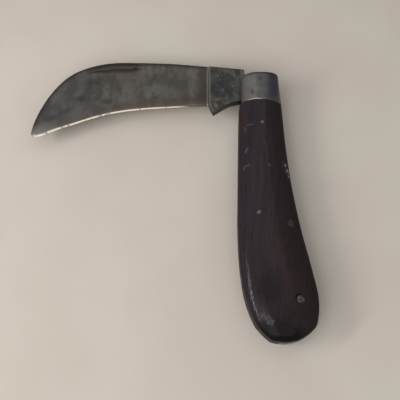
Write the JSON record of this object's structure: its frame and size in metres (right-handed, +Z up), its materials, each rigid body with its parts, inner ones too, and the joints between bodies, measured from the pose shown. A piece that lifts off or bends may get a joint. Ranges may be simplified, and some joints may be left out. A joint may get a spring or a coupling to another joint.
{
  "type": "folding pruning knife",
  "caption": "Folding pruning knife with a hooked hawkbill blade, dark wood scales, steel bolsters and a backspring, shown half open.",
  "frame": {"origin": "on the pivot axis, at the flat end of the pivot pin on the surface that the knife lies on", "axes": "+Z up along the pivot axis, the handle runs along -Y from the pivot, and the half-open blade points along -X"},
  "size_m": [0.1077, 0.1112, 0.0146],
  "materials": {
    "blade_steel": "worn carbon steel with a mottled grey-brown patina and a bright sharpened edge",
    "spring_steel": "darkened spring steel",
    "liner_steel": "dull sheet steel",
    "bolster_steel": "satin steel, lightly pitted",
    "dark_wood": "very dark brown rosewood, rubbed to a polish",
    "pin_steel": "light grey pin ends, filed flush"
  },
  "bodies": {
    "handle": {"backspring": "spring_steel", "upper_liner": "liner_steel", "lower_liner": "liner_steel", "upper_bolster": "bolster_steel", "lower_bolster": "bolster_steel", "upper_scale": "dark_wood", "lower_scale": "dark_wood", "pivot_pin": "bolster_steel", "upper_bolster_rivet": "bolster_steel", "lower_bolster_rivet": "bolster_steel", "middle_spring_pin": "pin_steel", "end_spring_pin": "pin_steel", "upper_scale_pin_front": "pin_steel", "upper_scale_pin_rear": "pin_steel", "lower_scale_pin_front": "pin_steel", "lower_scale_pin_rear": "pin_steel"},
    "blade": {"blade": "blade_steel"}
  },
  "joints": [
    {"name": "blade_pivot", "type": "hinge", "parent": "handle", "child": "blade", "pos_m": [0, 0, 0.0073], "axis": [0, 0, 1], "range_deg": [-81, 81], "deforming": ["backspring"]}
  ]
}
